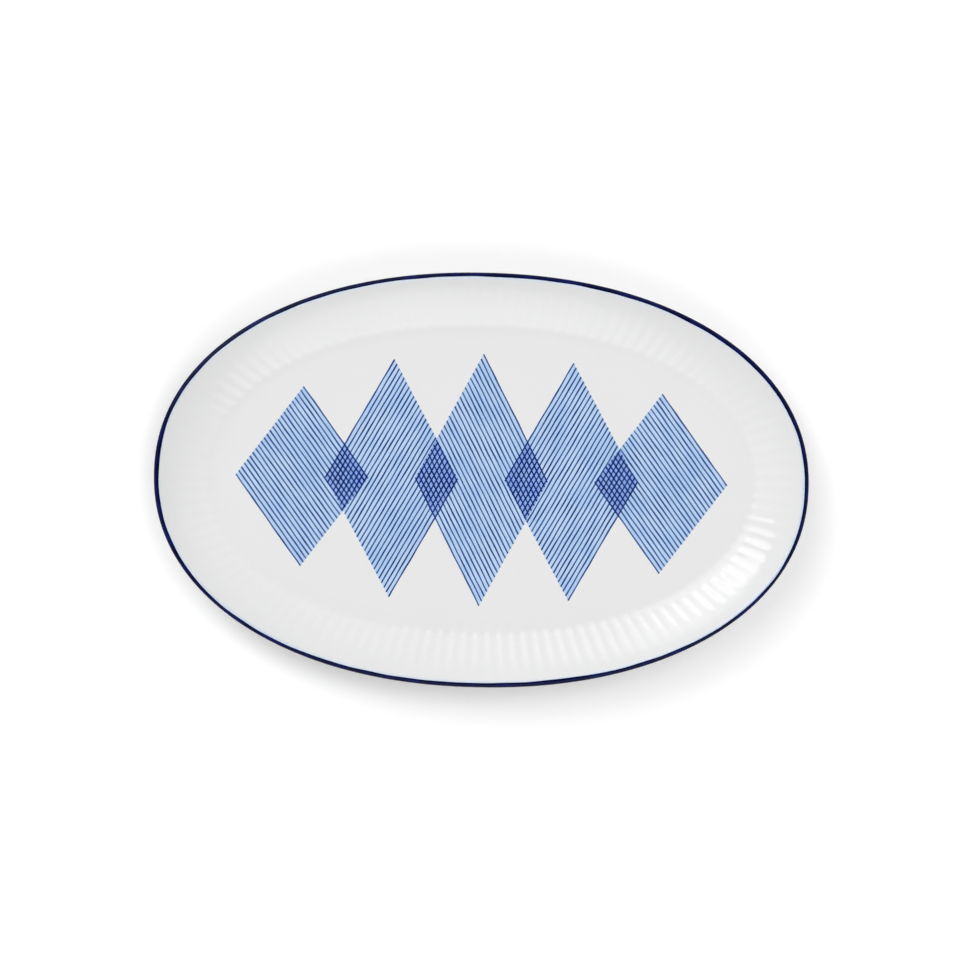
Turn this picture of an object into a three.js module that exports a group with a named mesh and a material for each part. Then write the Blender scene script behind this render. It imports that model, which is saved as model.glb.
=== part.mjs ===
// Oval lunch plate in glazed porcelain: a flat well, a fluted flank and a rounded lip edged with a dark
// blue line, standing on an oval foot ring, with a row of overlapping lozenges printed across the well.
// Millimetres, +Z up. The long axis lies along X, and the origin is on the table below the plate's middle.
import * as THREE from "three";

// Overall sizes
const LENGTH = 270; // over the rim, along X
const WIDTH = 171; // over the rim, along Y
const HEIGHT = 20; // from the table to the top of the rim
const OVAL_POWER = 2.124; // 2 makes an ellipse, and a little more fills out the oval's shoulders

// Wall of the plate
const FLANK_WIDTH = 21; // from the rim to the edge of the flat well, seen from above
const FLOOR_THICKNESS = 5;
const LIP_RADIUS = 1.4;
const WELL_SLOPE = THREE.MathUtils.degToRad(20); // of the flank where it meets the well
const RIM_SLOPE = THREE.MathUtils.degToRad(45); // of the flank where it meets the lip
const HEEL_SETBACK = 3; // from the edge of the well to the edge of the flat underside
const CURVE_REACH = 0.34; // handles of the flank's curves, as a share of the distance they span
const BACK_RINGS = 4; // facets down the back of the flank

// Flutes
const FLUTES = 120;
const FLUTE_DEPTH = 0.3; // from the ridges to the bottoms of the flutes
const FLUTE_STEPS = 4; // facets across one flute
const FLUTE_GUIDE = 14; // inset of the oval along which the flutes are evenly spaced
const FLUTED_FROM = 0.12; // first and last ring of the flutes, as shares of the way up the flank
const FLUTED_TO = 0.8;
const FLUTED_RINGS = 4;
const FLUTE_FADE = 3; // the higher, the nearer to the lip the flutes keep their depth

// Foot ring
const FOOT_HEIGHT = 3;
const FOOT_WIDTH = 4;
const FOOT_LEDGE = 1; // from the edge of the flat underside to the ring
const FOOT_FLARE = 1; // bevel at the top of the ring
const FOOT_EDGE = 0.5; // bevel beside the standing face

// Rim line, laid over the lip from its crest to below its widest point
const LINE_THICKNESS = 0.2;
const LINE_SWEEP = THREE.MathUtils.degToRad(120);
const LINE_FACETS = 4;

// Print
const LOZENGES = ["far_left", "left", "centre", "right", "far_right"];
const PRINT_MARGIN = 12; // from the edge of the well to the tips of the lozenges
const PRINT_OVERLAP = 18; // of neighbouring lozenges, along X
const PRINT_THICKNESS = 0.2;

const floorZ = FOOT_HEIGHT + FLOOR_THICKNESS;
const heelInset = FLANK_WIDTH + HEEL_SETBACK;
const lipInset = LIP_RADIUS + LINE_THICKNESS;
const lipZ = HEIGHT - LIP_RADIUS - LINE_THICKNESS;

const porcelain = new THREE.MeshStandardMaterial({ color: 0xe9eaec, roughness: 0.12, metalness: 0 });
const bisque = new THREE.MeshStandardMaterial({ color: 0xdedad2, roughness: 0.6, metalness: 0 });
const navy = new THREE.MeshStandardMaterial({ color: 0x0b153f, roughness: 0.15, metalness: 0 });
const paleInk = new THREE.MeshStandardMaterial({ color: 0xa3bfe6, roughness: 0.15, metalness: 0 });
const deepInk = new THREE.MeshStandardMaterial({ color: 0x4868af, roughness: 0.15, metalness: 0 });

// Oval that lies a set distance inside the rim
class Oval extends THREE.Curve {
  constructor(inset) {
    super();
    this.halfLength = LENGTH / 2 - inset;
    this.halfWidth = WIDTH / 2 - inset;
    this.arcLengthDivisions = 4800;
  }

  getPoint(share, target = new THREE.Vector3()) {
    const across = Math.cos(2 * Math.PI * share);
    const along = Math.sin(2 * Math.PI * share);
    const round = (value) => Math.sign(value) * Math.abs(value) ** (2 / OVAL_POWER);
    return target.set(this.halfLength * round(across), this.halfWidth * round(along), 0);
  }

  halfWidthAt(x) {
    return this.halfWidth * (1 - Math.abs(x / this.halfLength) ** OVAL_POWER) ** (1 / OVAL_POWER);
  }
}

// Ring of points round the plate. A section point holds an inset from the rim and a height, and the rings
// keep the same stations at every inset, so that the flutes run straight down the flank.
const guide = new Oval(FLUTE_GUIDE);

function ring(count, sectionPoint) {
  return Array.from({ length: count }, (_, step) => {
    const { x: inset, y: height } = sectionPoint(step);
    return new Oval(inset).getPoint(guide.getUtoTmapping(step / count)).setZ(height);
  });
}

const smoothRing = (point) => ring(FLUTES, () => point);

// Triangles of one cell between two rings, cut along the shorter diagonal, or one where a side has no length
function cell(points, a0, a1, b0, b1) {
  if (a0 === a1) return [a0, b0, b1];
  if (b0 === b1) return [a0, b0, a1];
  const forward = points[a0].distanceTo(points[b1]) <= points[b0].distanceTo(points[a1]);
  return forward ? [a0, b0, b1, a0, b1, a1] : [a0, b0, a1, b0, b1, a1];
}

// Closed surface through a row of rings, which runs outwards on top and inwards below. A ring of one point
// closes an end, and a finer ring has a whole number of points for each point of a coarser one.
function skin(rings) {
  const points = [];
  const starts = new Map();
  for (const each of rings) {
    if (starts.has(each)) continue;
    starts.set(each, points.length);
    points.push(...each);
  }
  const faces = [];
  for (let i = 1; i < rings.length; i++) {
    const [a, b] = [rings[i - 1], rings[i]];
    const steps = Math.max(a.length, b.length);
    const corner = (each, step) => starts.get(each) + (Math.round((step * each.length) / steps) % each.length);
    for (let step = 0; step < steps; step++) {
      faces.push(...cell(points, corner(a, step), corner(a, step + 1), corner(b, step), corner(b, step + 1)));
    }
  }
  const geometry = new THREE.BufferGeometry().setFromPoints(points).setIndex(faces);
  geometry.computeVertexNormals();
  return geometry;
}

const closedSkin = (rings) => skin([...rings, rings[0]]);

// Point of the lip's round, or of the line that lies on it. The angle is zero at the crest and grows outwards.
function lipPoint(angle, radius) {
  return new THREE.Vector2(lipInset - radius * Math.sin(angle), lipZ + radius * Math.cos(angle));
}

function lineAngles() {
  return Array.from({ length: LINE_FACETS + 1 }, (_, i) => (LINE_SWEEP * i) / LINE_FACETS);
}

// Curve of the flank from its foot, where it has a slope of its own, up to the lip
function flankCurve(foot, footSlope, top) {
  const reach = CURVE_REACH * foot.distanceTo(top);
  const upwards = (slope) => new THREE.Vector2(-Math.cos(slope), Math.sin(slope));
  const footHandle = foot.clone().addScaledVector(upwards(footSlope), reach);
  const topHandle = top.clone().addScaledVector(upwards(RIM_SLOPE), -reach);
  return new THREE.CubicBezierCurve(foot, footHandle, topHandle, top);
}

// Height across one flute, from the ridge on one side to the ridge on the other, with a round bottom between
const ridgeHeight = (share) => (2 * share - 1) ** 2;

function flutedRing(face, share) {
  const point = face.getPoint(share);
  const tangent = face.getTangent(share);
  const inward = new THREE.Vector2(tangent.y, -tangent.x);
  const fade = 1 - share ** FLUTE_FADE;
  return ring(FLUTES * FLUTE_STEPS, (step) => {
    const height = FLUTE_DEPTH * fade * ridgeHeight((step % FLUTE_STEPS) / FLUTE_STEPS);
    return point.clone().addScaledVector(inward, height);
  });
}

function porcelainBody() {
  const top = lipPoint(-RIM_SLOPE, LIP_RADIUS);
  const face = flankCurve(new THREE.Vector2(FLANK_WIDTH, floorZ), WELL_SLOPE, top);
  const flutes = Array.from({ length: FLUTED_RINGS }, (_, i) => {
    const share = THREE.MathUtils.lerp(FLUTED_FROM, FLUTED_TO, i / (FLUTED_RINGS - 1));
    return flutedRing(face, share);
  });
  const lip = lineAngles().map((angle) => lipPoint(angle, LIP_RADIUS));
  const backTop = lipPoint(Math.PI - RIM_SLOPE, LIP_RADIUS);
  const back = flankCurve(new THREE.Vector2(heelInset, FOOT_HEIGHT), 0, backTop).getPoints(BACK_RINGS);
  return skin([
    [new THREE.Vector3(0, 0, floorZ)],
    smoothRing(face.getPoint(0)),
    ...flutes,
    smoothRing(top),
    ...lip.map(smoothRing),
    ...back.reverse().map(smoothRing),
    [new THREE.Vector3(0, 0, FOOT_HEIGHT)],
  ]);
}

function rimLine() {
  const outside = lineAngles().map((angle) => lipPoint(angle, LIP_RADIUS + LINE_THICKNESS));
  const inside = lineAngles().map((angle) => lipPoint(angle, LIP_RADIUS));
  return closedSkin([...outside, ...inside.reverse()].map(smoothRing));
}

function footRing() {
  const outer = heelInset + FOOT_LEDGE;
  const stem = outer + FOOT_FLARE;
  const inner = stem + FOOT_WIDTH + FOOT_FLARE;
  const section = [
    [inner, FOOT_HEIGHT],
    [outer, FOOT_HEIGHT],
    [stem, FOOT_HEIGHT - FOOT_FLARE],
    [stem, FOOT_EDGE],
    [stem + FOOT_EDGE, 0],
    [stem + FOOT_WIDTH - FOOT_EDGE, 0],
    [stem + FOOT_WIDTH, FOOT_EDGE],
    [stem + FOOT_WIDTH, FOOT_HEIGHT - FOOT_FLARE],
  ];
  return closedSkin(section.map(([inset, height]) => smoothRing(new THREE.Vector2(inset, height))));
}

// Row of lozenges of one length, whose upper and lower tips lie on an oval inside the well
function lozengeRow() {
  const border = new Oval(FLANK_WIDTH + PRINT_MARGIN);
  const count = LOZENGES.length;
  const halfLength = (border.halfLength + ((count - 1) * PRINT_OVERLAP) / 2) / count;
  const pitch = 2 * halfLength - PRINT_OVERLAP;
  return LOZENGES.map((name, i) => {
    const x = (i - (count - 1) / 2) * pitch;
    return { name, x, halfLength, halfHeight: border.halfWidthAt(x) };
  });
}

// Where the upper right edge of one lozenge crosses the upper left edge of the next
function crossing(lozenge, next) {
  const fall = lozenge.halfHeight / lozenge.halfLength;
  const rise = next.halfHeight / next.halfLength;
  const [tip, nextTip] = [lozenge.x + lozenge.halfLength, next.x - next.halfLength];
  const x = (fall * tip + rise * nextTip) / (fall + rise);
  return { x, y: fall * (tip - x), tip, nextTip };
}

// Corners on the right side of a lozenge, from the top down: its tip, or the notch left by the next lozenge
function rightCorners(lozenge, next) {
  if (!next) return [[lozenge.x + lozenge.halfLength, 0]];
  const { x, y, nextTip } = crossing(lozenge, next);
  return [[x, y], [nextTip, 0], [x, -y]];
}

// The same on the left side, from the bottom up
function leftCorners(lozenge, previous) {
  if (!previous) return [[lozenge.x - lozenge.halfLength, 0]];
  const { x, y, tip } = crossing(previous, lozenge);
  return [[x, -y], [tip, 0], [x, y]];
}

function film(corners) {
  const shape = new THREE.Shape(corners.map(([x, y]) => new THREE.Vector2(x, y)).reverse());
  return new THREE.ExtrudeGeometry(shape, { depth: PRINT_THICKNESS, bevelEnabled: false });
}

function named(name, geometry, material) {
  const mesh = new THREE.Mesh(geometry, material);
  mesh.name = name;
  return mesh;
}

function printedRow() {
  const group = new THREE.Group();
  group.position.z = floorZ;
  const row = lozengeRow();
  row.forEach((lozenge, i) => {
    const { name, x, halfHeight } = lozenge;
    const corners = [
      [x, halfHeight],
      ...rightCorners(lozenge, row[i + 1]),
      [x, -halfHeight],
      ...leftCorners(lozenge, row[i - 1]),
    ];
    group.add(named(`${name}_lozenge`, film(corners), paleInk));
  });
  for (let i = 1; i < row.length; i++) {
    const { x, y, tip, nextTip } = crossing(row[i - 1], row[i]);
    const kite = film([[x, y], [tip, 0], [x, -y], [nextTip, 0]]);
    group.add(named(`${row[i - 1].name}_${row[i].name}_overlap`, kite, deepInk));
  }
  return group;
}

const plate = new THREE.Group();
plate.add(named("porcelain_body", porcelainBody(), porcelain));
plate.add(named("foot_ring", footRing(), bisque));
plate.add(named("rim_line", rimLine(), navy));
plate.add(printedRow());

export default plate;
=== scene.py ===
"""Oval lunch plate in glazed porcelain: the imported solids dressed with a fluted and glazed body, a turned
foot ring, a brushed rim line and a row of hatched lozenges, seen from straight above on a white floor.
Metres, +Z up, in the frame of the solids."""
import math

import bpy
import numpy as np
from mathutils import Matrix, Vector


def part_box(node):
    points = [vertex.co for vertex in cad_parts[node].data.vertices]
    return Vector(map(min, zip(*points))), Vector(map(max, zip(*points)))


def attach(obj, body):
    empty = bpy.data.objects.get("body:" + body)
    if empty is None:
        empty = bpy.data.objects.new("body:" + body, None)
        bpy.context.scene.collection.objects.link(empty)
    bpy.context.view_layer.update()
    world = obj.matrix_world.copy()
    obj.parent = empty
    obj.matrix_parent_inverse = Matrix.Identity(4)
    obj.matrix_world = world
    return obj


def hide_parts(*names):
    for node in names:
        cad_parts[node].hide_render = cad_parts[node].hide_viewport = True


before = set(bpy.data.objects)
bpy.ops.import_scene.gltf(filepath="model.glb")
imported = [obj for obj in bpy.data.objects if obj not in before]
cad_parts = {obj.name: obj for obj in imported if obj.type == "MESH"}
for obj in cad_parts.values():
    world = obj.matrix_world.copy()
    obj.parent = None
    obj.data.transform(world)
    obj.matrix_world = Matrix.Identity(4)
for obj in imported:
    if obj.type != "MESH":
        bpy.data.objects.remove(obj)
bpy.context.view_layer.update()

MM = 0.001

# Sizes read from the solids
RIM_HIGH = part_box("rim_line")[1]
HALF_LENGTH = RIM_HIGH.x
HALF_WIDTH = RIM_HIGH.y
RIM_TOP = RIM_HIGH.z
WELL_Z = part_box("centre_lozenge")[0].z
FOOT_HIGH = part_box("foot_ring")[1]
UNDERSIDE_Z = FOOT_HIGH.z

# Section of the body. The flank starts 1 mm farther in than in the solids, in a round that they leave out.
OVAL_POWER = 2.124
FLANK_WIDTH = 22 * MM
HEEL_ROUND = 1.2 * MM
BACK_WIDTH = 24 * MM
LIP_RADIUS = 1.6 * MM
RIM_SLOPE = math.radians(45)
WELL_SLOPE = math.radians(20)
CURVE_REACH = 0.34

# Flutes, spaced evenly along an oval that lies this far inside the rim
FLUTES = 120
FLUTE_DEPTH = 0.19 * MM
FLUTE_GUIDE = 14 * MM
FLUTE_FADE = 2
FLUTE_ROUND = 1.5
# Share of its depth that a flute loses at the heel, and how soon it has it back
HEEL_FADE = 0.4
HEEL_FADE_SPAN = 8

# Facets
COLUMNS = 10
SMOOTH_COLUMNS = 4
FACE_ROWS = 40
HEEL_ROWS = 16
HEEL_REACH = 4.2 * MM
LIP_ROWS = 18
BACK_ROWS = 24
WELL_SCALES = (0.96, 0.75, 0.5, 0.25)

# Foot ring
FOOT_STEM = 4 * MM
FOOT_FILLET = 1 * MM
FOOT_ROUND = 0.6 * MM
FOOT_ARC_ROWS = 6

# Rim line, from its inner to its outer edge in angles over the lip
PAINT = 0.04 * MM
PAINT_SQUARENESS = 8
LINE_START = math.radians(-9)
LINE_END = math.radians(120)
LINE_WOBBLE = math.radians(3)
LINE_ROWS = 14
# Where the brush pressed less or more, in degrees: the angle round the plate, the reach along the line
# and how far the inner edge moves outwards over the lip
TOUCHES = (
    (-32, 22, 15),
    (-78, 9, -12),
    (-138, 18, 9),
    (180, 16, -13),
    (105, 24, 4),
    (45, 18, -8),
)

# Print
LOZENGES = ("far_left", "left", "centre", "right", "far_right")
WASH_THICKNESS = 0.03 * MM
HAND_WOBBLE = 0.07 * MM
EDGE_STEP = 1.5 * MM
# Waves of a hand-cut edge, those that move it along x and those along y: radians per mm of x and of y, start
EDGE_WAVES = (
    ((0.31, 0.53, 1.3), (-0.47, 0.83, 0.0)),
    ((0.43, -0.37, 0.4), (0.71, 0.59, 0.0)),
)
STROKE_THICKNESS = 0.02 * MM
STROKE_PITCH = 1.86 * MM
STROKE_WIDTH = 0.62 * MM
STROKE_STEP = 1.2 * MM
STROKE_FLAT = 0.7
SWAY_WAVES = (11 * MM, 23 * MM, 47 * MM)
SWELL_WAVE = 19 * MM
SWELL = 0.12


# Ovals and rings


def oval(inset, turns):
    """Points of the oval that lies inset inside the rim, at these angles."""
    power = 2 / OVAL_POWER
    across, along = np.cos(turns), np.sin(turns)
    x = (HALF_LENGTH - inset) * np.sign(across) * np.abs(across) ** power
    y = (HALF_WIDTH - inset) * np.sign(along) * np.abs(along) ** power
    return x, y


def even_turns(count):
    """Angles of points that lie evenly along the oval that guides the flutes."""
    dense = np.linspace(0, 2 * math.pi, 12001)
    x, y = oval(FLUTE_GUIDE, dense)
    length = np.concatenate([[0], np.cumsum(np.hypot(np.diff(x), np.diff(y)))])
    return np.interp(np.arange(count) / count * length[-1], length, dense)


def ring(count, inset, height, groove=0.0):
    """Points round the plate, one row each: x, y, z, the inset from the rim and the depth in a flute."""
    inset, height, groove = (np.broadcast_to(v, count) for v in (inset, height, groove))
    x, y = oval(inset, even_turns(count))
    return np.column_stack([x, y, height, inset, groove])


def scaled(points, share, height):
    """A ring drawn in towards the middle of the plate, at another height."""
    smaller = points.copy()
    smaller[:, :2] *= share
    smaller[:, 2] = height
    return smaller


def cell(starts, counts, a, b, step, steps):
    """Corners of one cell between rings a and b, which may differ in their number of points."""
    corners = [
        starts[r] + round(s * counts[r] / steps) % counts[r]
        for r, s in ((a, step), (b, step), (b, step + 1), (a, step + 1))
    ]
    return list(dict.fromkeys(corners))


def skin(name, rings, closed=False):
    """Mesh object through a row of rings that run outwards on top and inwards below."""
    counts = [len(r) for r in rings]
    starts = [sum(counts[:i]) for i in range(len(counts))]
    pairs = [(i, i + 1) for i in range(len(rings) - 1)]
    if closed:
        pairs.append((len(rings) - 1, 0))
    faces = []
    for a, b in pairs:
        steps = max(counts[a], counts[b])
        faces += [cell(starts, counts, a, b, step, steps) for step in range(steps)]
    return mesh_object(name, np.vstack(rings), faces, layers=("inset", "groove"))


def mesh_object(name, points, faces, smooth=True, layers=()):
    """Object from points and faces. The columns of the points past x, y and z become these attributes."""
    mesh = bpy.data.meshes.new(name)
    mesh.from_pydata(points[:, :3].tolist(), [], faces)
    for column, layer in enumerate(layers, start=3):
        values = np.ascontiguousarray(points[:, column], dtype=np.float32)
        mesh.attributes.new(layer, "FLOAT", "POINT").data.foreach_set("value", values)
    mesh.polygons.foreach_set("use_smooth", [smooth] * len(mesh.polygons))
    mesh.validate()
    mesh.update()
    piece = bpy.data.objects.new(name, mesh)
    bpy.context.scene.collection.objects.link(piece)
    return piece


def dress(piece, material, slot, *nodes):
    """Gives a piece its material and its place in the frame, in place of these nodes."""
    piece.data.materials.append(material)
    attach(piece, "root")
    if nodes:
        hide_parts(*nodes)


# Porcelain body


def lip_point(angle, radius):
    """Inset and height on the round of the lip. The angle is zero at the crest and grows outwards."""
    return LIP_RADIUS - radius * np.sin(angle), RIM_TOP - LIP_RADIUS + radius * np.cos(angle)


def flank_curve(foot, top, rows, foot_slope):
    """Points up the flank, from its foot to the lip, each with the direction up the slope."""
    foot, top = np.array(foot), np.array(top)
    reach = CURVE_REACH * np.linalg.norm(top - foot)
    foot_handle = foot + (-reach * math.cos(foot_slope), reach * math.sin(foot_slope))
    top_handle = top + (reach * math.cos(RIM_SLOPE), -reach * math.sin(RIM_SLOPE))
    share = np.linspace(0, 1, rows + 1)[:, None]
    rest = 1 - share
    points = (
        rest**3 * foot + 3 * rest**2 * share * foot_handle
        + 3 * rest * share**2 * top_handle + share**3 * top
    )
    slopes = (
        rest**2 * (foot_handle - foot) + 2 * rest * share * (top_handle - foot_handle)
        + share**2 * (top - top_handle)
    )
    return points, slopes / np.linalg.norm(slopes, axis=1)[:, None]


def over_well(climb):
    """Height over the well of a face that would climb this far over it: flat, then a round, then the face."""
    bend = (np.clip(climb, -HEEL_ROUND, HEEL_ROUND) + HEEL_ROUND) ** 2 / (4 * HEEL_ROUND)
    return np.where(climb > HEEL_ROUND, climb, bend)


def fluted_ring(point, slope, share):
    """Ring of the flank whose ridges stand proud of it. It meets the well in a round, and the ridges reach
    farther into the well than the flutes between them."""
    count = FLUTES * COLUMNS
    across = np.arange(count) % COLUMNS / COLUMNS
    ridge = 1 - np.sin(math.pi * across) ** FLUTE_ROUND
    strength = (1 - share**FLUTE_FADE) * (1 - HEEL_FADE * (1 - share) ** HEEL_FADE_SPAN)
    proud = FLUTE_DEPTH * strength * ridge
    inset = point[0] + proud * slope[1]
    climb = point[1] - proud * slope[0] - WELL_Z
    return ring(count, inset, WELL_Z + over_well(climb), strength * (1 - ridge))


def smooth_rings(section):
    """Rings without flutes through these points of the section."""
    return [ring(FLUTES * SMOOTH_COLUMNS, inset, height) for inset, height in section]


def outside_rings(section):
    """Rings through points outside the lip, where the inset that they keep counts on from the lip."""
    rings = smooth_rings(section)
    for points in rings:
        points[:, 3] += LIP_RADIUS
    return rings


def disc_rings(edge, height):
    """Rings that close a flat oval, from its middle out to the edge."""
    middle = scaled(edge[:1], 0, height)
    return [middle] + [scaled(edge, share, height) for share in reversed(WELL_SCALES)]


def face_rings(top):
    """Rings up the inside, from where the flank's line dips below the well up to the lip."""
    face, slopes = flank_curve((FLANK_WIDTH, WELL_Z), top, FACE_ROWS, WELL_SLOPE)
    shares = np.linspace(0, 1, FACE_ROWS + 1)
    dips = np.linspace(HEEL_REACH, 0, HEEL_ROWS, endpoint=False)
    heel = [fluted_ring(face[0] - dip * slopes[0], slopes[0], 0) for dip in dips]
    return heel + [fluted_ring(*row) for row in zip(face, slopes, shares)]


def porcelain_plate():
    """Well, fluted flank, lip, back and underside in one skin. The lip leaves room for the paint."""
    radius = LIP_RADIUS - PAINT
    well = smooth_rings([(FLANK_WIDTH + HEEL_REACH, WELL_Z)])[0]
    flank = face_rings(lip_point(-RIM_SLOPE, radius))
    angles = np.linspace(-RIM_SLOPE, math.pi - RIM_SLOPE, LIP_ROWS + 1)[1:-1]
    lip = smooth_rings([lip_point(angle, radius) for angle in angles if angle < math.pi / 2])
    lip += outside_rings([lip_point(angle, radius) for angle in angles if angle >= math.pi / 2])
    back_top = lip_point(math.pi - RIM_SLOPE, radius)
    back_points, _ = flank_curve((BACK_WIDTH, UNDERSIDE_Z), back_top, BACK_ROWS, 0)
    back = outside_rings(back_points[::-1])
    below = disc_rings(back[-1], UNDERSIDE_Z)
    return skin("porcelain_plate", disc_rings(well, WELL_Z) + flank + lip + back + below[::-1])


# Foot ring


def arc(centre, radius, start, end):
    """Points of the section along an arc, with angles from the +inset direction."""
    angles = np.radians(np.linspace(start, end, FOOT_ARC_ROWS + 1))
    return [(centre[0] + radius * math.cos(a), centre[1] + radius * math.sin(a)) for a in angles]


def turned_foot_ring():
    """Ring with a fillet to the underside and a rounded standing edge."""
    outer = HALF_LENGTH - FOOT_HIGH.x
    stem = outer + FOOT_FILLET
    inner = stem + FOOT_STEM
    fillet_z = UNDERSIDE_Z - FOOT_FILLET
    section = (
        arc((outer, fillet_z), FOOT_FILLET, 90, 0)
        + arc((stem + FOOT_ROUND, FOOT_ROUND), FOOT_ROUND, 180, 270)
        + arc((inner - FOOT_ROUND, FOOT_ROUND), FOOT_ROUND, 270, 360)
        + arc((inner + FOOT_FILLET, fillet_z), FOOT_FILLET, 180, 90)
    )
    return skin("turned_foot_ring", smooth_rings(section), closed=True)


# Rim line


def hand_noise(places, seed, waves=6):
    """Smooth noise of about -1 to 1 along a closed path, for places from 0 to 1."""
    draw = np.random.default_rng(seed)
    total = np.zeros_like(places)
    for wave in range(waves):
        count = draw.integers(3 + 5 * wave, 8 + 9 * wave)
        total += np.sin(2 * math.pi * (count * places + draw.random())) / math.sqrt(waves)
    return total


def brush_pressure(turns):
    """Angle by which the line's inner edge moves outwards at these angles round the plate."""
    total = np.zeros_like(turns)
    for place, reach, change in np.radians(TOUCHES):
        gap = (turns - place + math.pi) % (2 * math.pi) - math.pi
        total += change * np.exp(-((gap / reach) ** 2))
    return total


def brushed_rim_line():
    """Band of paint over the lip, with hand-drawn edges where it thins out."""
    count = FLUTES * SMOOTH_COLUMNS
    places = np.arange(count) / count
    start = LINE_START + LINE_WOBBLE * hand_noise(places, seed=4) + brush_pressure(even_turns(count))
    end = LINE_END + LINE_WOBBLE * hand_noise(places, seed=9)
    shares = np.linspace(0, 1, LINE_ROWS + 1)
    angles = [start + (end - start) * share for share in shares]
    radii = LIP_RADIUS - PAINT * (2 * shares - 1) ** PAINT_SQUARENESS
    face = [ring(count, *lip_point(angle, radius)) for angle, radius in zip(angles, radii)]
    under = [ring(count, *lip_point(angle, LIP_RADIUS - PAINT)) for angle in angles[-2:0:-1]]
    return skin("brushed_rim_line", face + under, closed=True)


# Print


def lozenge_row():
    """Middle, half length and half height of each lozenge, from the boxes of the solids."""
    lefts = [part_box("far_left_lozenge")[0].x]
    rights = []
    for name, after in zip(LOZENGES, LOZENGES[1:]):
        low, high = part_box(f"{name}_{after}_overlap")
        lefts.append(low.x)
        rights.append(high.x)
    rights.append(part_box("far_right_lozenge")[1].x)
    heights = [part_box(f"{name}_lozenge")[1].y for name in LOZENGES]
    return [((a + b) / 2, (b - a) / 2, h) for a, b, h in zip(lefts, rights, heights)]


def crossing(lozenge, after):
    """Where the upper right edge of one lozenge crosses the upper left edge of the next."""
    fall, rise = lozenge[2] / lozenge[1], after[2] / after[1]
    tip, next_tip = lozenge[0] + lozenge[1], after[0] - after[1]
    x = (fall * tip + rise * next_tip) / (fall + rise)
    return x, fall * (tip - x)


def lozenge_corners(row, index):
    """Outline of one lozenge, anticlockwise from its top, with notches where its neighbours cross it."""
    x, half_length, half_height = row[index]
    left, right = [(x - half_length, 0)], [(x + half_length, 0)]
    if index > 0:
        cross_x, cross_y = crossing(row[index - 1], row[index])
        previous = row[index - 1]
        left = [(cross_x, cross_y), (previous[0] + previous[1], 0), (cross_x, -cross_y)]
    if index < len(row) - 1:
        cross_x, cross_y = crossing(row[index], row[index + 1])
        after = row[index + 1]
        right = [(cross_x, -cross_y), (after[0] - after[1], 0), (cross_x, cross_y)]
    return [(x, half_height), *left, (x, -half_height), *right]


def overlap_corners(row, index):
    """Outline of the double print between a lozenge and the next, anticlockwise from its top."""
    x, y = crossing(row[index], row[index + 1])
    tip = row[index][0] + row[index][1]
    next_tip = row[index + 1][0] - row[index + 1][1]
    return [(x, y), (next_tip, 0), (x, -y), (tip, 0)]


def wobble(points):
    """Points moved a little, by their place, as a hand-cut edge is."""
    x, y = points[:, 0] / MM, points[:, 1] / MM
    shifts = [sum(np.sin(a * x + b * y + start) for a, b, start in waves) for waves in EDGE_WAVES]
    return points + HAND_WOBBLE / 2 * np.column_stack(shifts)


def edge_points(corners):
    """Points along an outline, close enough together to wobble."""
    points = []
    for a, b in zip(corners, corners[1:] + corners[:1]):
        steps = max(1, round(math.dist(a, b) / EDGE_STEP))
        points += [np.array(a) + (np.array(b) - np.array(a)) * i / steps for i in range(steps)]
    return wobble(np.array(points))


def wash_film(name, corners):
    """Thin film with an outline, lying on the well."""
    outline = edge_points(corners)
    count = len(outline)
    low = np.column_stack([outline, np.full(count, WELL_Z)])
    high = np.column_stack([outline, np.full(count, WELL_Z + WASH_THICKNESS)])
    sides = [[i, (i + 1) % count, count + (i + 1) % count, count + i] for i in range(count)]
    faces = [list(range(count - 1, -1, -1)), list(range(count, 2 * count)), *sides]
    return mesh_object(name, np.vstack([low, high]), faces, smooth=False)


def inside(points, lozenge):
    """How far inside a lozenge points lie: 1 well inside, 0 outside."""
    x, half_length, half_height = lozenge
    depth = 1 - np.abs(points[:, 0] - x) / half_length - np.abs(points[:, 1]) / half_height
    return np.clip(0.5 + depth * half_length / STROKE_STEP, 0, 1)


def stroke(start, end, level, draw):
    """Points and faces of one brush line from start to end, a flat ribbon with sloping shoulders."""
    start, end = np.array(start), np.array(end)
    length = np.linalg.norm(end - start)
    along = (end - start) / length
    across = np.array([-along[1], along[0]])
    steps = max(4, round(length / STROKE_STEP))
    share = np.linspace(0, 1, steps + 1)
    sway = sum(np.sin(2 * math.pi * (length / wave * share + draw.random())) for wave in SWAY_WAVES)
    swell = np.sin(2 * math.pi * (length / SWELL_WAVE * share + draw.random()))
    middle = start + share[:, None] * (end - start) + HAND_WOBBLE * sway[:, None] / 2 * across
    half = STROKE_WIDTH / 2 * (1 + SWELL * swell)
    top = level + STROKE_THICKNESS
    section = [(-1, level), (1, level), (STROKE_FLAT, top), (-STROKE_FLAT, top)]
    rows = [
        np.column_stack([middle + (side * half)[:, None] * across, np.full(len(share), height)])
        for side, height in section
    ]
    points = np.stack(rows, axis=1).reshape(-1, 3)
    faces = [
        [4 * i + j, 4 * i + (j + 1) % 4, 4 * (i + 1) + (j + 1) % 4, 4 * (i + 1) + j]
        for i in range(steps) for j in range(4)
    ]
    last = 4 * steps
    return points, [[3, 2, 1, 0], *faces, [last, last + 1, last + 2, last + 3]]


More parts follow.
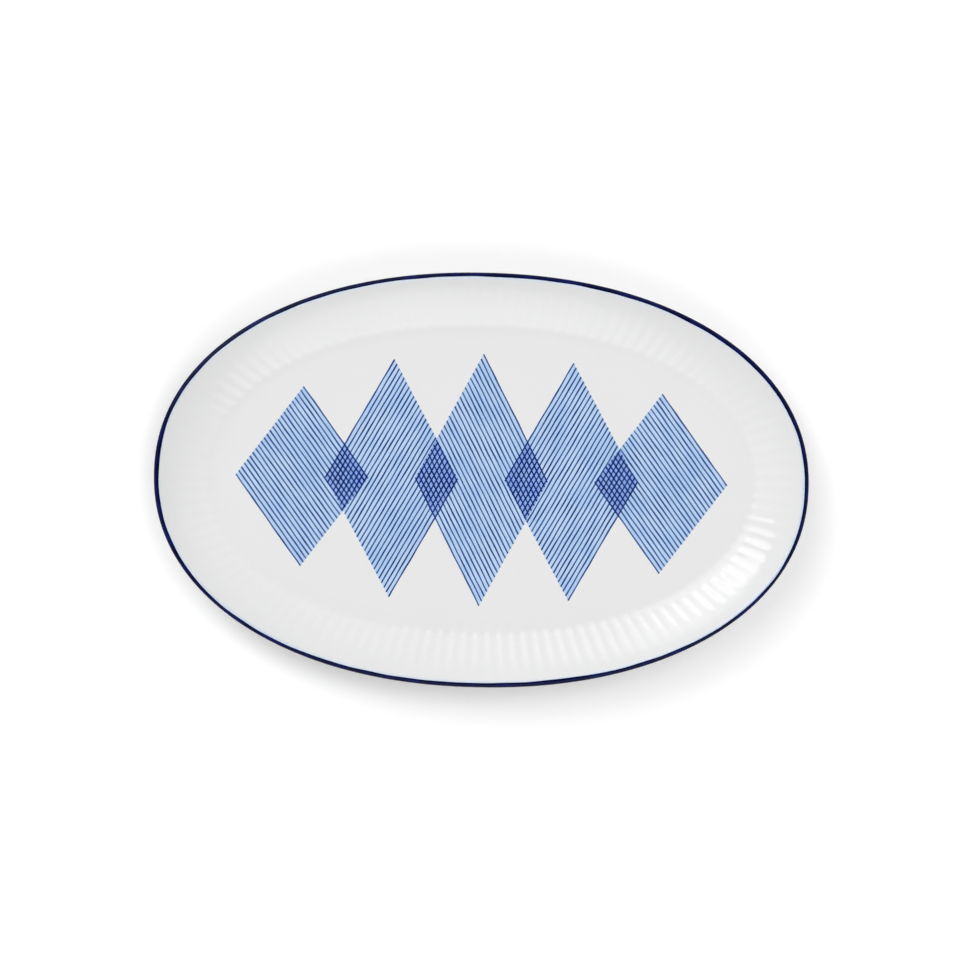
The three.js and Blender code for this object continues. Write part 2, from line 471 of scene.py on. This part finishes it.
def hatching(name, lozenge, neighbours, leaning, level, seed):
    """Brush lines across a lozenge, along one pair of its edges. The crossed attribute marks where they cross
    the lines of a neighbour."""
    x, half_length, half_height = lozenge
    draw = np.random.default_rng(seed)
    span = 2 * half_length * half_height / math.hypot(half_length, half_height)
    count = round((span - STROKE_WIDTH) / STROKE_PITCH)
    points, faces = [], []
    for i in range(count + 1):
        share = (STROKE_WIDTH / 2 + (span - STROKE_WIDTH) * i / count) / span
        start = (x - leaning * half_length * (1 - share), half_height * share)
        end = (x + leaning * half_length * share, -half_height * (1 - share))
        line_points, line_faces = stroke(start, end, level, draw)
        first = sum(len(p) for p in points)
        points.append(line_points)
        faces += [[first + corner for corner in face] for face in line_faces]
    points = np.vstack(points)
    crossed = np.maximum.reduce([inside(points, each) for each in neighbours])
    return mesh_object(name, np.column_stack([points, crossed]), faces, smooth=False, layers=("crossed",))


def printed_row():
    """Five lozenges, each a wash under brush lines, with a double wash where two of them cross."""
    row = lozenge_row()
    wash = wash_material("pale_wash", PALE_WASH)
    double = wash_material("double_wash", DOUBLE_WASH)
    ink = ink_material()
    for i, name in enumerate(LOZENGES):
        film = wash_film(f"{name}_wash", lozenge_corners(row, i))
        dress(film, wash, "print_wash", f"{name}_lozenge")
        odd = i % 2
        level = WELL_Z + WASH_THICKNESS + odd * STROKE_THICKNESS
        neighbours = row[max(0, i - 1):i] + row[i + 1:i + 2]
        lines = hatching(f"{name}_hatching", row[i], neighbours, 1 - 2 * odd, level, seed=20 + i)
        dress(lines, ink, "cobalt")
    for i, (name, after) in enumerate(zip(LOZENGES, LOZENGES[1:])):
        film = wash_film(f"{name}_{after}_double_wash", overlap_corners(row, i))
        dress(film, double, "print_overlap", f"{name}_{after}_overlap")


# Materials


def srgb(red, green, blue):
    """Linear colour of an sRGB colour of 0 to 255."""
    return tuple(
        c / 12.92 if c <= 0.04045 else ((c + 0.055) / 1.055) ** 2.4
        for c in (red / 255, green / 255, blue / 255)
    )


GLAZE = (srgb(230, 230, 230), srgb(233, 233, 233))
GLAZE_IN_FLUTES = srgb(227, 228, 229)
FLUTE_TINT = 0.2
GLAZE_BY_LINE = srgb(166, 194, 228)
TINT_SPAN = (1.6 * MM, 3.2 * MM)
TINT_SHARES = (0.4, 0.75)
CLAY = (srgb(205, 200, 190), srgb(226, 222, 214))
SCUFFED_CLAY = srgb(172, 168, 162)
FOOT_GLAZE = srgb(231, 231, 232)
GLAZE_EDGE = (0.55 * MM, 0.75 * MM)
GLAZE_EDGE_WOBBLE = 0.35 * MM
CLAY_ROUGHNESS = 0.62
FOOT_GLAZE_ROUGHNESS = 0.09
RIM_BLUE = (srgb(2, 6, 52), srgb(12, 20, 84))
PALE_WASH = (srgb(174, 202, 235), srgb(190, 213, 240))
DOUBLE_WASH = (srgb(132, 162, 221), srgb(144, 174, 230))
STROKE_BLUE = (srgb(52, 86, 154), srgb(26, 54, 126))
CROSSED_BLUE = (srgb(4, 38, 122), srgb(0, 24, 102))
IOR = 1.5


class Nodes:
    """Adds nodes to the tree of a material or of the world."""

    def __init__(self, owner):
        owner.use_nodes = True
        self.nodes = owner.node_tree.nodes
        self.links = owner.node_tree.links

    def set(self, socket, value):
        """Links a socket, or sets its value."""
        if isinstance(value, bpy.types.NodeSocket):
            self.links.new(value, socket)
        elif isinstance(value, tuple) and len(value) == 3 and socket.type == "RGBA":
            socket.default_value = (*value, 1)
        else:
            socket.default_value = value

    def add(self, kind, inputs=(), **properties):
        node = self.nodes.new(kind)
        for key, value in properties.items():
            setattr(node, key, value)
        for socket, value in dict(inputs).items():
            self.set(node.inputs[socket], value)
        return node

    def calculate(self, operation, *values):
        return self.add("ShaderNodeMath", enumerate(values), operation=operation).outputs[0]

    def remap(self, value, low, high, to_low=0.0, to_high=1.0):
        """The value, moved from one range to another and kept inside it."""
        inputs = {"Value": value, "From Min": low, "From Max": high, "To Min": to_low, "To Max": to_high}
        return self.add("ShaderNodeMapRange", inputs, interpolation_type="SMOOTHSTEP").outputs["Result"]

    def seen(self):
        """1 for the rays that show a surface: from the camera, in a reflection or through glass."""
        path = self.add("ShaderNodeLightPath").outputs
        shown = path["Is Camera Ray"]
        for kind in ("Is Glossy Ray", "Is Transmission Ray"):
            shown = self.calculate("MAXIMUM", shown, path[kind])
        return shown


class Shader(Nodes):
    """A material round one Principled shader."""

    def __init__(self, name, **values):
        self.material = bpy.data.materials.new(name)
        super().__init__(self.material)
        self.principled = self.nodes["Principled BSDF"]
        self.place = self.add("ShaderNodeTexCoord").outputs["Object"]
        for socket, value in values.items():
            self.paint(socket.replace("_", " "), value)

    def noise(self, size, detail=2.0, roughness=0.5):
        """Noise with features of about this size."""
        inputs = {"Vector": self.place, "Scale": 1 / size, "Detail": detail, "Roughness": roughness}
        return self.add("ShaderNodeTexNoise", inputs).outputs["Fac"]

    def attribute(self, name):
        return self.add("ShaderNodeAttribute", attribute_name=name).outputs["Fac"]

    def mix(self, share, a, b):
        """Colour between a and b. The Mix node's colours are its sockets 6 and 7, and its output 2."""
        return self.add("ShaderNodeMix", {0: share, 6: a, 7: b}, data_type="RGBA").outputs[2]

    def bump(self, height, distance, normal=None):
        inputs = {"Height": height, "Distance": distance, "Strength": 1.0}
        if normal:
            inputs["Normal"] = normal
        return self.add("ShaderNodeBump", inputs).outputs["Normal"]

    def paint(self, socket, value):
        self.set(self.principled.inputs[socket], value)


def ripple(shader):
    """Faint unevenness of a fired glaze."""
    wide = shader.bump(shader.noise(9 * MM, detail=1), 0.012 * MM)
    return shader.bump(shader.noise(2.2 * MM, detail=2), 0.0015 * MM, wide)


def glaze_material():
    """White porcelain under clear glaze, cooler in the flutes and tinged with blue beside the rim line."""
    shader = Shader("white_glaze", IOR=IOR, Roughness=0.06)
    body = shader.mix(shader.noise(28 * MM), *GLAZE)
    pooled = shader.calculate("MULTIPLY", shader.attribute("groove"), FLUTE_TINT)
    body = shader.mix(pooled, body, GLAZE_IN_FLUTES)
    near = shader.remap(shader.attribute("inset"), *TINT_SPAN, 1.0, 0.0)
    uneven = shader.remap(shader.noise(1.5 * MM), 0.3, 0.7, *TINT_SHARES)
    tint = shader.calculate("MULTIPLY", near, uneven)
    shader.paint("Base Color", shader.mix(tint, body, GLAZE_BY_LINE))
    shader.paint("Normal", ripple(shader))
    return shader.material


def foot_material():
    """Glazed sides and a bare standing face, ground smooth and a little grey from use."""
    shader = Shader("bare_foot", IOR=IOR)
    height = shader.add("ShaderNodeSeparateXYZ", {0: shader.place}).outputs["Z"]
    edge = shader.calculate("MULTIPLY_ADD", shader.noise(3 * MM), GLAZE_EDGE_WOBBLE, height)
    glazed = shader.remap(edge, *GLAZE_EDGE)
    bare = shader.mix(shader.noise(0.6 * MM, detail=4), *CLAY)
    scuffed = shader.remap(shader.noise(7 * MM, detail=5, roughness=0.7), 0.55, 0.72, 0.0, 0.5)
    bare = shader.mix(scuffed, bare, SCUFFED_CLAY)
    shader.paint("Base Color", shader.mix(glazed, bare, FOOT_GLAZE))
    shader.paint("Roughness", shader.remap(glazed, 0, 1, CLAY_ROUGHNESS, FOOT_GLAZE_ROUGHNESS))
    shader.paint("Normal", shader.bump(shader.noise(0.35 * MM, detail=3), 0.012 * MM))
    return shader.material


def rim_material():
    """Dark cobalt under glaze, a little thinner here and there."""
    shader = Shader("rim_cobalt", IOR=IOR, Roughness=0.06, Specular_IOR_Level=0.08)
    thin = shader.remap(shader.noise(6 * MM, detail=4), 0.4, 0.7)
    shader.paint("Base Color", shader.mix(thin, *RIM_BLUE))
    shader.paint("Normal", ripple(shader))
    return shader.material


def wash_material(name, blues):
    """Transparent blue wash, uneven as it settles."""
    shader = Shader(name, IOR=IOR, Roughness=0.1)
    settled = shader.remap(shader.noise(11 * MM, detail=5, roughness=0.6), 0.35, 0.65)
    shader.paint("Base Color", shader.mix(settled, *blues))
    shader.paint("Normal", ripple(shader))
    return shader.material


def ink_material():
    """Brush lines, darker where the brush was full and where lines cross."""
    shader = Shader("line_cobalt", IOR=IOR, Roughness=0.1)
    full = shader.remap(shader.noise(8 * MM, detail=4, roughness=0.6), 0.38, 0.66)
    line = shader.mix(full, *STROKE_BLUE)
    crossed = shader.mix(full, *CROSSED_BLUE)
    shader.paint("Base Color", shader.mix(shader.attribute("crossed"), line, crossed))
    shader.paint("Normal", ripple(shader))
    return shader.material


# Floor, light and camera

FLOOR_SIZE = 12.0
FLOOR_WHITE = 0.5
# A little over 1, so that the open floor shows white and only the shadow shows grey
FLOOR_SEEN = 1.1
DOME_LEVEL = 0.553
DOME_SEEN = 1.0
ZENITH_EDGES = (math.cos(math.radians(34)), math.cos(math.radians(16)))
# Glows of the dome: compass direction, degrees from straight above, reach in degrees, level
GLOWS = (
    ((0.17, -0.98), 47, 34, 1.4),
    ((-0.53, 0.85), 57, 24, 1.4),
    ((-0.31, 0.95), 57, 24, 0.35),
)
LAMP_DISTANCE = 4.8
PIXELS = 960
PIXEL = 270 * MM / 655.75
PLATE_TURN = math.radians(1.25)
PLATE_SHIFT = Vector((1.3, 0.05)) * PIXEL
CAMERA_HEIGHT = 1.7
SENSOR = 36.0


def white_floor():
    half = FLOOR_SIZE / 2
    points = np.array([(-half, -half, 0), (half, -half, 0), (half, half, 0), (-half, half, 0)])
    plane = mesh_object("floor", points, [[0, 1, 2, 3]], smooth=False)
    shader = Shader("white_floor", Roughness=1.0, Specular_IOR_Level=0.0)
    shader.paint("Base Color", shader.mix(shader.seen(), (FLOOR_WHITE,) * 3, (FLOOR_SEEN,) * 3))
    plane.data.materials.append(shader.material)


def aim(towards, from_vertical):
    """Direction from the plate to a light: a compass direction, this many degrees from straight above."""
    tilt = math.radians(from_vertical)
    flat = Vector((*towards, 0)).normalized()
    return flat * math.sin(tilt) + Vector((0, 0, math.cos(tilt)))


def glow(tree, direction, towards, from_vertical, reach, level):
    """Bright area of the dome that fades out evenly, this many degrees wide to each side."""
    centre = aim(towards, from_vertical)
    share = tree.add("ShaderNodeVectorMath", {0: direction, 1: centre}, operation="DOT_PRODUCT")
    return tree.remap(share.outputs["Value"], math.cos(math.radians(reach)), 1.0, 0.0, level)


def studio_dome():
    """White dome with soft glows and a dark patch overhead, where the camera hangs. It lights less than the
    white it shows."""
    world = bpy.data.worlds.new("studio")
    bpy.context.scene.world = world
    tree = Nodes(world)
    direction = tree.add("ShaderNodeTexCoord").outputs["Generated"]
    height = tree.add("ShaderNodeSeparateXYZ", {0: direction}).outputs["Z"]
    level = tree.remap(tree.seen(), 0.0, 1.0, DOME_LEVEL, DOME_SEEN)
    level = tree.calculate("MULTIPLY", level, tree.remap(height, *ZENITH_EDGES, 1.0, 0.0))
    for place in GLOWS:
        level = tree.calculate("ADD", level, glow(tree, direction, *place))
    background = tree.nodes["Background"]
    tree.set(background.inputs["Color"], (1.0, 1.0, 1.0))
    tree.set(background.inputs["Strength"], level)


def softbox(name, towards, from_vertical, size, radiance, mirrored=True):
    """Oval softbox that faces the plate from a compass direction, this far from straight above."""
    lamp = bpy.data.lights.new(name, "AREA")
    lamp.shape = "ELLIPSE"
    lamp.size, lamp.size_y = size
    lamp.energy = radiance * math.pi * math.pi / 4 * size[0] * size[1]
    place = aim(towards, from_vertical) * LAMP_DISTANCE
    obj = bpy.data.objects.new(name, lamp)
    obj.location = place
    obj.rotation_mode = "QUATERNION"
    obj.rotation_quaternion = (-place).to_track_quat("-Z", "Y")
    obj.visible_glossy = mirrored
    bpy.context.scene.collection.objects.link(obj)


def studio_lamps():
    softbox("key_softbox", (-0.74, 0.67), 51.5, (2.5, 2.3), radiance=2.4)
    softbox("high_softbox", (-0.64, 0.77), 28, (2.7, 2.7), radiance=1.45)
    # Its reflection would draw a bright arc along the heel, so the glaze doesn't mirror it
    softbox("top_softbox", (0.87, 0.5), 22, (2.7, 2.7), radiance=2.7, mirrored=False)


def overhead_camera():
    """Camera straight above the plate, turned a little, with the photograph's frame at the rim's height."""
    data = bpy.data.cameras.new("overhead")
    data.sensor_fit = "HORIZONTAL"
    data.sensor_width = SENSOR
    data.lens = SENSOR * (CAMERA_HEIGHT - RIM_TOP) / (PIXELS * PIXEL)
    obj = bpy.data.objects.new("overhead", data)
    obj.location = (-PLATE_SHIFT.x, -PLATE_SHIFT.y, CAMERA_HEIGHT)
    obj.rotation_euler = (0, 0, PLATE_TURN)
    bpy.context.scene.collection.objects.link(obj)
    bpy.context.scene.camera = obj


dress(porcelain_plate(), glaze_material(), "glaze", "porcelain_body")
dress(turned_foot_ring(), foot_material(), "bisque", "foot_ring")
dress(brushed_rim_line(), rim_material(), "cobalt", "rim_line")
printed_row()
white_floor()
studio_dome()
studio_lamps()
overhead_camera()
bpy.context.scene.view_settings.view_transform = "Standard"
